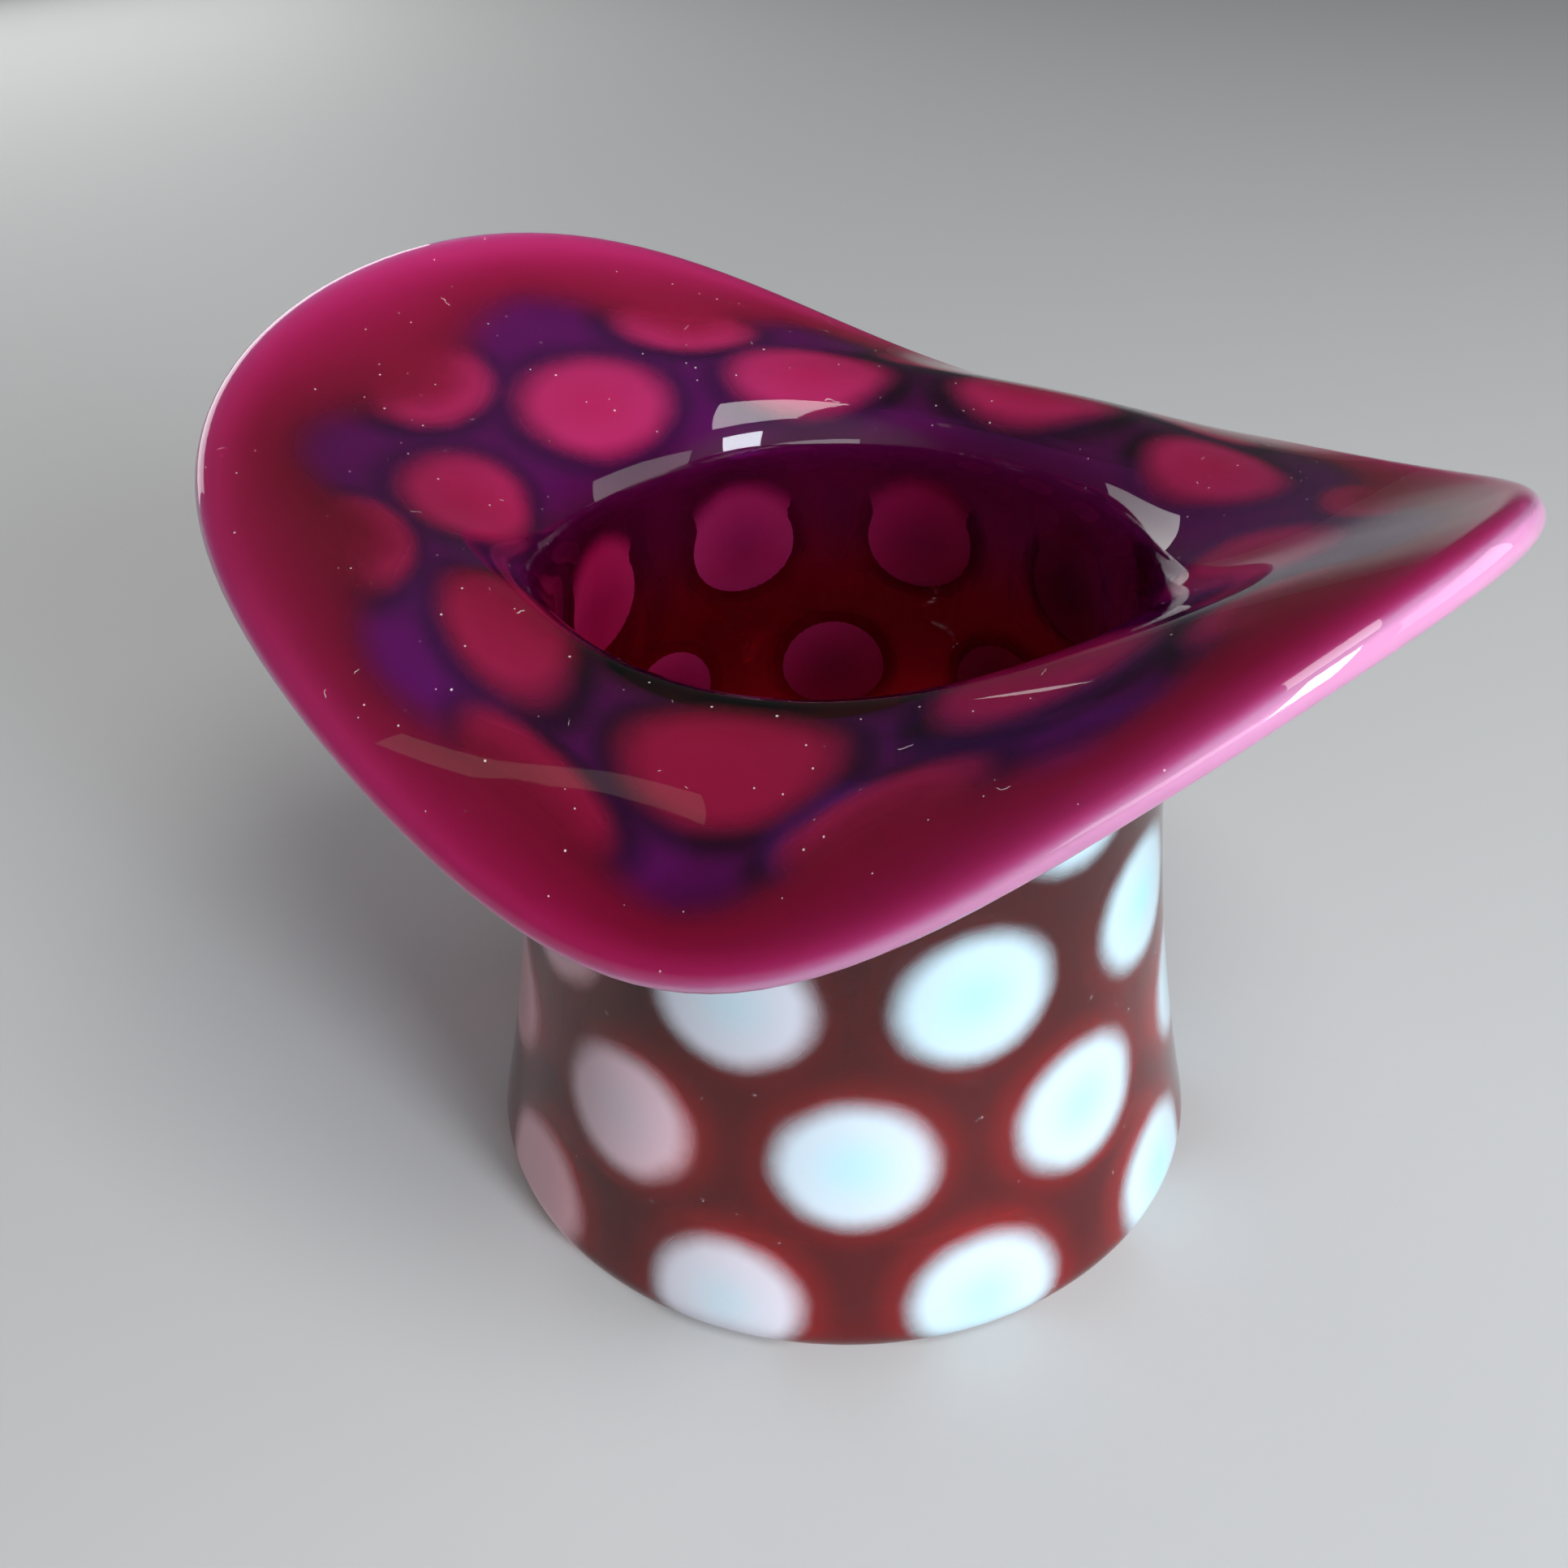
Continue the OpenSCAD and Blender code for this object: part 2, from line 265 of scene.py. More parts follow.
    def brim(self, u: float, a: float) -> tuple[Vector, Vector]:
        """The brim's outer face, a cubic curve from the neck to the rim.

        Args:
            u: share of the way from the neck to the rim.
            a: direction in radians.

        Returns:
            Point as radius and height, and the heading there.
        """
        reach, height, slope = self.rim_end(a)
        along = Vector((math.cos(slope), math.sin(slope)))
        up = Vector((-along.y, along.x))
        start = Vector((self.crown_r(self.neck_z), self.neck_z))
        leave = Vector((self.crown_lean(self.neck_z), 1.0)).normalized()
        end = Vector((reach, height)) - (along + up) * self.wall_t / 2
        pull = min(self.rim_pull, self.pull_share * (end - start).length)
        first = start + self.neck_pull * leave
        second = end - pull * along
        v = 1 - u
        point = v**3 * start + 3 * u * v * v * first + 3 * u * u * v * second + u**3 * end
        heading = v * v * (first - start) + 2 * u * v * (second - first) + u * u * (end - second)
        return point, heading.normalized()

    def drawn(self, t: float, a: float) -> float:
        """How the brim was drawn out: more near the neck than near the rim, and not the same all round.

        Args:
            t: share of the way from the neck to the rim along the glass as gathered.
            a: direction in radians.

        Returns:
            Share of the way along the shaped brim.
        """
        more = self.draw + self.draw_lean * math.cos(a - math.radians(self.draw_dir))
        return t + (more - self.draw_side * math.cos(2 * a)) * t * (1 - t)

    def outer_face(self, s: float, a: float) -> tuple[Vector, Vector]:
        """The outer face at a place along the wall.

        Args:
            s: place along the wall from the edge of the flat foot; below 0 it lies on the foot.
            a: direction in radians.

        Returns:
            Point as radius and height, and the heading there.
        """
        if s < 0:
            return Vector((self.flat_r + s, 0.0)), Vector((1.0, 0.0))
        if s < self.round_len:
            t = self.round_turn * s / self.round_len
            r = self.flat_r + self.foot_round * math.sin(t)
            z = self.foot_round * (1 - math.cos(t))
            return Vector((r, z)), Vector((math.cos(t), math.sin(t)))
        if s < self.neck_at:
            z = self.round_z + s - self.round_len
            return Vector((self.crown_r(z), z)), Vector((self.crown_lean(z), 1.0)).normalized()
        point, heading = self.brim(self.drawn(min(1.0, (s - self.neck_at) / self.brim_len), a), a)
        return point + heading * max(0.0, s - self.rim_at), heading

    def wall(self, s: float, a: float, depth: float, floor: float = 0.0) -> Vector:
        """A point in the glass.

        Args:
            s: place along the wall.
            a: direction in radians.
            depth: distance in from the outer face.
            floor: 0 on the wall, up to 1 round the well's lower corner, up to 2 at the middle of its floor.

        Returns:
            Point in metres.
        """
        point, heading = self.outer_face(s, a)
        point = point + depth * Vector((-heading.y, heading.x))
        if floor > 0:
            low = self.floor_z - (self.wall_t - depth)
            t = math.pi / 2 * (1 - min(1.0, floor))
            r = (point.x - self.floor_round * (1 - math.sin(t))) * min(1.0, 2 - floor)
            point = Vector((r, low + (point.y - low) * (1 - math.cos(t))))
        if s < 0 and depth < self.casing_t and point.x < self.kick_r:
            ball = (self.kick_r**2 + self.kick_h**2) / (2 * self.kick_h)
            hollow = math.sqrt(ball**2 - point.x**2) - (ball - self.kick_h)
            point.y += hollow * (1 - depth / self.casing_t)
        return Vector((point.x * math.cos(a), point.x * math.sin(a), point.y)) * MM


@dataclass(frozen=True)
class DotPattern:
    """Layout of the struck opal: rows of dots and the band along the rim, in millimetres and degrees."""

    dots: int = 9
    crown_rows: int = 4
    dot_dir: float = -56.0
    dot_w: float = 14.8
    dot_h: float = 13.0
    foot_gap: float = 0.4
    row_gap: float = 2.1
    inner_dot_w: float = 16.8
    inner_dot_h: float = 12.4
    outer_dot_w: float = 14.2
    outer_dot_h: float = 8.4
    nest: float = 1.6
    band_nest: float = 1.0
    band_gap: float = 0.9
    band_w: float = 6.6
    turns: tuple[float, ...] = (0.0, 0.0, 0.0, 0.5, 4.0, 2.0)
    most_away: float = 3.0

    @property
    def rows(self) -> int:
        """Number of rows from the foot to the rim."""
        return len(self.turns)

    @property
    def pitch(self) -> float:
        """Angle between the dots of a row, in radians."""
        return 2 * math.pi / self.dots

    def away(self, form: HatForm, s: float, a: float) -> float:
        """How far a place lies from the nearest dot.

        Args:
            form: the blown form.
            s: place along the wall.
            a: direction in radians.

        Returns:
            Distance from the dot's middle, as a share of the dot's own half width or height.
        """
        near = self.most_away
        for number in range(1, self.rows + 1):
            at, first, half_w, half_h = self.row(number, form)
            if abs(s - at) / half_h < near:
                nearest = first + self.pitch * round((a - first) / self.pitch)
                reach = form.outer_face(at, nearest)[0].x
                near = min(near, math.hypot((a - nearest) * reach / half_w, (s - at) / half_h))
        return near

    def band_at(self, form: HatForm) -> float:
        """Place along the wall at which the rim band starts."""
        return form.rim_at - self.band_w

    def row(self, number: int, form: HatForm) -> tuple[float, float, float, float]:
        """Where a row lies.

        Args:
            number: row, counted from the foot, from 1.
            form: the blown form.

        Returns:
            Place along the wall, the first dot's direction in radians, half a dot's width and height.
        """
        outer = self.band_at(form) + self.band_nest - self.band_gap - self.outer_dot_h / 2
        inner = outer - (self.outer_dot_h + self.inner_dot_h) / 2 + self.nest
        first = math.radians(self.dot_dir + self.turns[number - 1])
        first += self.pitch / 2 if number % 2 == 1 else 0.0
        if number <= self.crown_rows:
            at = self.foot_gap + self.dot_h / 2 + (number - 1) * (self.dot_h + self.row_gap)
            return at, first, self.dot_w / 2, self.dot_h / 2
        if number < self.rows:
            return inner, first, self.inner_dot_w / 2, self.inner_dot_h / 2
        return outer, first, self.outer_dot_w / 2, self.outer_dot_h / 2


class NodeTree:
    """Short ways to add and join shader nodes."""

    def __init__(self, tree: bpy.types.NodeTree) -> None:
        """Keeps the tree and empties it."""
        self.tree = tree
        tree.nodes.clear()

    def add(self, kind: str, takes: dict[str | int, object] | None = None, **values: object) -> Node:
        """Adds a node.

        Args:
            kind: node type.
            takes: what goes into its inputs: an output of another node, a number or a colour.
            values: the node's own settings.

        Returns:
            The node.
        """
        node = self.tree.nodes.new(kind)
        for name, value in values.items():
            setattr(node, name, value)
        for name, value in (takes or {}).items():
            if isinstance(value, NodeSocket):
                self.tree.links.new(value, node.inputs[name])
            else:
                node.inputs[name].default_value = value
        return node

    def read(self, name: str) -> NodeSocket:
        """Reads one of the values that the piece's points keep."""
        return self.add("ShaderNodeAttribute", attribute_name=name).outputs["Fac"]

    def maths(self, kind: str, first: object, second: object) -> NodeSocket:
        """Works out a value from two outputs or numbers."""
        return self.add("ShaderNodeMath", {0: first, 1: second}, operation=kind).outputs["Value"]

    def ramp(self, value: NodeSocket, low: object, high: object, kind: str = "SMOOTHSTEP") -> NodeSocket:
        """Brings a value from low..high to 0..1."""
        takes = {"Value": value, "From Min": low, "From Max": high}
        return self.add("ShaderNodeMapRange", takes, interpolation_type=kind).outputs["Result"]

    def mix(self, kind: str, share: NodeSocket, first: NodeSocket, second: NodeSocket) -> NodeSocket:
        """Mixes two colours (RGBA) or two values (FLOAT), by the share of the second."""
        takes = {"Factor": share, "A": first, "B": second}
        return self.add("ShaderNodeMix", takes, data_type=kind).outputs["Result"]

    def noise(self, where: NodeSocket, scale: float, detail: float) -> Node:
        """Adds a Noise texture with so many waves to the metre."""
        return self.add("ShaderNodeTexNoise", {"Vector": where, "Scale": scale, "Detail": detail})

    def cells(self, where: NodeSocket, scale: float, feature: str) -> Node:
        """Adds a Voronoi texture with so many cells to the metre."""
        return self.add("ShaderNodeTexVoronoi", {"Vector": where, "Scale": scale}, feature=feature)

    def shader(self, kind: str, colour: object) -> NodeSocket:
        """Adds a shader that has a colour alone."""
        return self.add(kind, {"Color": colour}).outputs["BSDF"]

    def blend(self, share: object, first: NodeSocket, second: NodeSocket) -> NodeSocket:
        """Mixes two shaders, by the share of the second."""
        return self.add("ShaderNodeMixShader", {0: share, 1: first, 2: second}).outputs["Shader"]


def new_material(name: str) -> tuple[Material, NodeTree]:
    """Makes an empty material.

    Args:
        name: its name.

    Returns:
        The material and its tree.
    """
    mat = bpy.data.materials.new(name)
    mat.use_nodes = True
    return mat, NodeTree(mat.node_tree)


def new_group(name: str, takes: dict[str, Socket], gives: dict[str, Socket]) -> ShaderNodeTree:
    """Makes an empty node group.

    Args:
        name: its name.
        takes: its inputs.
        gives: its outputs.

    Returns:
        The group.
    """
    group = bpy.data.node_groups.new(name, "ShaderNodeTree")
    for way, sockets in (("INPUT", takes), ("OUTPUT", gives)):
        for socket, kind in sockets.items():
            group.interface.new_socket(socket, in_out=way, socket_type=kind.value)
    return group


@dataclass(frozen=True)
class BlownSkin:
    """What lies on the glass's skin: slow ripples, faint smears, and dust and lint where it faces up."""

    ripple_scale: float = 70.0
    ripple_detail: float = 1.0
    smear_scale: float = 160.0
    smear_detail: float = 4.0
    smear_range: Span = (0.5, 0.75)
    smear_rough: float = 0.03
    grain_scale: float = 900.0
    grain_size: float = 0.08
    grain_edge: float = 0.03
    grain_share: Span = (0.5, 0.52)
    lint_scale: float = 110.0
    lint_bend: float = 0.006
    lint_width: Span = (0.004, 0.001)
    gap_scale: float = 420.0
    gap_detail: float = 2.0
    gap_range: Span = (0.68, 0.71)
    dust_slope: Span = (0.2, 0.6)
    dust_h: float = 0.05

    def grains(self, kit: NodeTree, where: NodeSocket) -> NodeSocket:
        """Adds grains of dust.

        Args:
            kit: the group's tree.
            where: coordinates.

        Returns:
            1 on a grain.
        """
        specks = kit.cells(where, self.grain_scale, "F1").outputs
        picked = kit.add("ShaderNodeSeparateColor", {"Color": specks["Color"]}).outputs
        size = kit.maths("MULTIPLY", picked["Green"], self.grain_size)
        spot = kit.ramp(kit.maths("SUBTRACT", specks["Distance"], size), self.grain_edge, 0.0)
        return kit.maths("MULTIPLY", spot, kit.ramp(picked["Red"], *self.grain_share, "LINEAR"))

    def lint(self, kit: NodeTree, where: NodeSocket, bend: NodeSocket) -> NodeSocket:
        """Adds bent threads of lint.

        Args:
            kit: the group's tree.
            where: coordinates.
            bend: colour that bends the threads.

        Returns:
            1 on a thread.
        """
        takes = {0: bend, 1: [self.lint_bend] * 3, 2: where}
        bent = kit.add("ShaderNodeVectorMath", takes, operation="MULTIPLY_ADD").outputs["Vector"]
        hairs = kit.cells(bent, self.lint_scale, "DISTANCE_TO_EDGE")
        thread = kit.ramp(hairs.outputs["Distance"], *self.lint_width)
        gaps = kit.noise(where, self.gap_scale, self.gap_detail)
        return kit.maths("MULTIPLY", thread, kit.ramp(gaps.outputs["Fac"], *self.gap_range))

    def group(self) -> ShaderNodeTree:
        """Builds the effect.

        Returns:
            Node group with inputs Ripple and Dust and outputs Height, Roughness and Specks.
        """
        takes = dict.fromkeys(("Ripple", "Dust"), Socket.VALUE)
        gives = dict.fromkeys(("Height", "Roughness", "Specks"), Socket.VALUE)
        group = new_group("blown_skin", takes, gives)
        kit = NodeTree(group)
        given = kit.add("NodeGroupInput").outputs
        where = kit.add("ShaderNodeTexCoord").outputs["Object"]
        slow = kit.noise(where, self.ripple_scale, self.ripple_detail)
        smears = kit.noise(where, self.smear_scale, self.smear_detail)
        lint = self.lint(kit, where, smears.outputs["Color"])
        specks = kit.maths("MAXIMUM", self.grains(kit, where), lint)
        normal = kit.add("ShaderNodeNewGeometry").outputs["Normal"]
        upward = kit.add("ShaderNodeSeparateXYZ", {"Vector": normal}).outputs["Z"]
        settled = kit.maths("MULTIPLY", kit.ramp(upward, *self.dust_slope), given["Dust"])
        dust = kit.maths("MULTIPLY", specks, settled)
        wave = kit.maths("MULTIPLY", slow.outputs["Fac"], given["Ripple"])
        height = kit.maths("ADD", wave, kit.maths("MULTIPLY", dust, self.dust_h))
        smudge = kit.ramp(smears.outputs["Fac"], *self.smear_range)
        rough = kit.maths("MULTIPLY", smudge, self.smear_rough)
        kit.add("NodeGroupOutput", {"Height": height, "Roughness": rough, "Specks": dust})
        return group


@dataclass(frozen=True)
class StruckMilk:
    """What the opals share: how densely the glass has struck, its tint, and painted shade towards one side.
    """

    cloud_scale: float = 260.0
    cloud_detail: float = 3.0
    cloud_middle: float = 0.5
    ragged: float = 0.08
    core_range: Span = (0.45, 1.0)

    def group(self) -> ShaderNodeTree:
        """Builds the effect.

        Returns:
            Node group with inputs Start, End, Core, Edge and the colour of painted shade, which reads the
            piece's strike and its share of painted shade, and with outputs Density and Color.
        """
        takes = dict.fromkeys(("Start", "End"), Socket.VALUE)
        takes |= dict.fromkeys(("Core", "Edge", "Painted_Shade"), Socket.COLOUR)
        group = new_group("struck_milk", takes, {"Density": Socket.VALUE, "Color": Socket.COLOUR})
        kit = NodeTree(group)
        given = kit.add("NodeGroupInput").outputs
        where = kit.add("ShaderNodeTexCoord").outputs["Object"]
        cloud = kit.noise(where, self.cloud_scale, self.cloud_detail).outputs["Fac"]
        uneven = kit.maths("MULTIPLY", kit.maths("SUBTRACT", cloud, self.cloud_middle), self.ragged)
        struck = kit.maths("ADD", kit.read("strike"), uneven)
        density = kit.ramp(struck, given["Start"], given["End"])
        tint = kit.mix("RGBA", kit.ramp(struck, *self.core_range), given["Edge"], given["Core"])
        # Painted shade: the shade colour mixed in by the share that each point keeps.
        colour = kit.mix("RGBA", kit.read("painted_shade"), tint, given["Painted_Shade"])
        kit.add("NodeGroupOutput", {"Density": density, "Color": colour})
        return group


@dataclass(frozen=True)
class ClearGlass:
    """Fire-polished clear glass of the casing, with the skin that the whole hat has."""

    name: str = "clear_casing_glass"
    ior: float = 1.46
    ripple: float = 1.0
    dust: float = 0.5
    dust_colour: Colour = (0.86, 0.82, 0.78)
    bump: float = 0.25
    bump_h: float = 0.0006
    shadow: Colour = (0.95, 0.95, 0.95)

    def material(self, skin: ShaderNodeTree) -> Material:
        """Makes the material.

        Args:
            skin: the shared surface effect.

        Returns:
            Glass that lets the lamps' light through to what lies inside.
        """
        mat, kit = new_material(self.name)
        takes = {"Ripple": self.ripple, "Dust": self.dust}
        effect = kit.add("ShaderNodeGroup", takes, node_tree=skin).outputs
        relief = {"Strength": self.bump, "Distance": self.bump_h, "Height": effect["Height"]}
        looks = {
            "Base Color": (1.0, 1.0, 1.0, 1.0),
            "IOR": self.ior,
            "Transmission Weight": 1.0,
            "Roughness": effect["Roughness"],
            "Normal": kit.add("ShaderNodeBump", relief).outputs["Normal"],
        }
        glass = kit.add("ShaderNodeBsdfPrincipled", looks).outputs["BSDF"]
        grain = kit.shader("ShaderNodeBsdfDiffuse", (*self.dust_colour, 1.0))
        dusty = kit.blend(effect["Specks"], glass, grain)
        lit = kit.shader("ShaderNodeBsdfTransparent", (*self.shadow, 1.0))
        shaded = kit.add("ShaderNodeLightPath").outputs["Is Shadow Ray"]
        kit.add("ShaderNodeOutputMaterial", {"Surface": kit.blend(shaded, dusty, lit)})
        return mat


@dataclass(frozen=True)
class RubyGlass:
    """Ruby glass fused inside the wall: it takes light along its thickness and has no face of its own."""

    name: str = "ruby_lining_glass"
    colour: Colour = (0.86, 0.12, 0.53)
    density: float = 1750.0

    def material(self) -> Material:
        """Makes the material.

        Returns:
            Glass whose colour is absorption alone.
        """
        mat, kit = new_material(self.name)
        takes = {"Color": (*self.colour, 1.0), "Density": self.density}
        inside = kit.add("ShaderNodeVolumeAbsorption", takes).outputs["Volume"]
        fused = kit.add("ShaderNodeBsdfTransparent").outputs["BSDF"]
        kit.add("ShaderNodeOutputMaterial", {"Surface": fused, "Volume": inside})
        return mat


@dataclass(frozen=True)
class Stop:
    """The veil at a place along the wall: the tint of painted shade it lets through, and its haze with a
    share.
    """

    at: float
    tint: Colour
    painted_halo: Haze
    between: Haze


@dataclass(frozen=True)
class PaintedShadeVeil:
    """A veil of painted shade in the casing between the dots: it dims what is seen through it and catches
    some light.
    """

    name: str = "clear_casing_painted_shade"
    length: float = 90.0
    fade: Span = (1.05, 1.5)
    # Tints are painted shade that darkens the glass; the tint darkens most at the top of the crown, as
    # painted shade of the well.
    stops: tuple[Stop, ...] = (
        Stop(20.0, (0.76, 0.14, 0.17), (0.9, 0.01, 0.02, 0.075), (0.85, 0.02, 0.05, 0.036)),
        Stop(44.0, (0.3, 0.05, 0.08), (0.75, 0.01, 0.02, 0.04), (0.7, 0.03, 0.06, 0.036)),
        Stop(58.0, (0.3, 0.1, 0.26), (0.2, 0.02, 0.2, 0.03), (0.3, 0.06, 0.5, 0.08)),
        Stop(66.0, (0.36, 0.2, 0.56), (0.2, 0.03, 0.5, 0.05), (0.32, 0.05, 1.0, 0.2)),
    )

    def along(self, kit: NodeTree, colours: list[Haze]) -> Node:
        """Adds a colour that turns along the wall.

        Args:
            kit: the material's tree.
            colours: the colour at each stop.

        Returns:
            The ramp's node.
        """
        place = kit.maths("DIVIDE", kit.read("along"), self.length)
        ramp = kit.add("ShaderNodeValToRGB", {"Fac": place})
        ramp.color_ramp.interpolation = "EASE"
        marks = ramp.color_ramp.elements
        while len(marks) < len(colours):
            marks.new(1.0)
        for mark, stop, colour in zip(marks, self.stops, colours):
            mark.position = stop.at / self.length
            mark.color = colour
        return ramp

    def material(self) -> Material:
        """Makes the material.

        Returns:
            A veil of painted shade whose colours turn along the wall and with the distance from the nearest
            dot.
        """
        mat, kit = new_material(self.name)
        tint = self.along(kit, [(*stop.tint, 1.0) for stop in self.stops]).outputs
        painted_halo = self.along(kit, [stop.painted_halo for stop in self.stops]).outputs
        between = self.along(kit, [stop.between for stop in self.stops]).outputs
        # Near each dot the haze is redder and denser: a painted halo for the dot's shadow and its
        # reflections in the glass.
        away = kit.ramp(kit.read("away"), *self.fade)
        haze = kit.mix("RGBA", away, painted_halo["Color"], between["Color"])
        share = kit.mix("FLOAT", away, painted_halo["Alpha"], between["Alpha"])
        through = kit.shader("ShaderNodeBsdfTransparent", tint["Color"])
        veil = kit.blend(share, through, kit.shader("ShaderNodeBsdfDiffuse", haze))
        kit.add("ShaderNodeOutputMaterial", {"Surface": veil})
        return mat


@dataclass(frozen=True)
class OpalGlass:
    """Struck opal glass, milky where it cooled and was heated again, and clear at its soft edge, with
    painted shade on one side.
    """

    kind: Opal
    core: Colour = (0.53, 0.92, 1.0)
    edge: Colour = (0.68, 0.9, 0.98)
    # Colour of painted shade, mixed in towards one side of the hat.
    painted_shade: Colour = (0.9, 0.56, 0.63)
    start: float = 0.05
    end: float = 0.42
    glow: float = 0.5
    rough: float = 0.9

    def material(self, milk: ShaderNodeTree) -> Material:
        """Makes the material.

        Args:
            milk: the shared struck effect.

        Returns:
            Milky glass that scatters light both ways.
        """
        mat, kit = new_material(self.kind.value)
        takes = {"Start": self.start, "End": self.end}
        for name, colour in (("Core", self.core), ("Edge", self.edge), ("Painted_Shade", self.painted_shade)):
            takes[name] = (*colour, 1.0)
        effect = kit.add("ShaderNodeGroup", takes, node_tree=milk).outputs
        looks = {"Base Color": effect["Color"], "Roughness": self.rough, "Specular IOR Level": 0.0}
        white = kit.add("ShaderNodeBsdfPrincipled", looks).outputs["BSDF"]
        through = kit.shader("ShaderNodeBsdfTranslucent", effect["Color"])
        both = kit.blend(self.glow, white, through)
        clear = kit.add("ShaderNodeBsdfTransparent").outputs["BSDF"]
        kit.add("ShaderNodeOutputMaterial", {"Surface": kit.blend(effect["Density"], clear, both)})
        return mat


CROWN_OPAL = OpalGlass(Opal.CROWN)
BRIM_OPAL = OpalGlass(
    Opal.BRIM, core=(0.9, 0.7, 0.8), edge=(0.93, 0.95, 0.97), painted_shade=(0.48, 0.18, 0.28), end=0.5
)
RIM_OPAL = OpalGlass(
    Opal.RIM, core=(0.68, 0.32, 0.54), edge=(0.52, 0.18, 0.3), painted_shade=(0.2, 0.06, 0.1), end=0.6
)


def piece(name: str, bm: BMesh, material: Material, node: str) -> None:
    """Turns a bmesh into a piece of the hat that rides on its body.

    Args:
        name: the piece's name.
        bm: its mesh, which is freed.
        material: its finish.
        node: CAD node that it stands for.
    """
    mesh = bpy.data.meshes.new(name)
    bm.to_mesh(mesh)
    bm.free()
    mesh.polygons.foreach_set("use_smooth", [True] * len(mesh.polygons))
    mesh.materials.append(material)
    obj = bpy.data.objects.new(name, mesh)
    bpy.context.scene.collection.objects.link(obj)
    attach(obj, BODY)
    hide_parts(node)
    LOG.info("%s: %d faces", name, len(mesh.polygons))


def spun(section: Section, columns: int, place: Place) -> BMesh:
    """Spins a section into a sleeve and blows the sleeve to the hat's form.

    Args:
        section: places along the wall, depths and floor shares, in order.
        columns: steps of the spin.
        place: gives a point from a place along the wall, a direction, a depth and a floor share.

    Returns:
        The closed, smooth-turning mesh, whose points keep their place along the wall.
    """
    bm = bmesh.new()
    layers = [bm.verts.layers.float.new(name) for name in ("along", "depth", "floor")]
    verts = []
    for k, values in enumerate(section):
        vert = bm.verts.new((1.0, 0.0, float(k)))
        for layer, value in zip(layers, values):
            vert[layer] = value
        verts.append(vert)
    edges = [bm.edges.new(pair) for pair in zip(verts, verts[1:])]
    bmesh.ops.spin(
        bm,
        geom=verts + edges,
        cent=(0, 0, 0),
        axis=(0, 0, 1),
        angle=2 * math.pi,
        steps=columns,
        use_merge=True,
    )
    for vert in bm.verts:
        along, depth, floor = (vert[layer] for layer in layers)
        vert.co = place(along, math.atan2(vert.co.y, vert.co.x), depth, floor)
    bmesh.ops.remove_doubles(bm, verts=bm.verts, dist=MERGE_DIST)
    bmesh.ops.recalc_face_normals(bm, faces=bm.faces)
    return bm


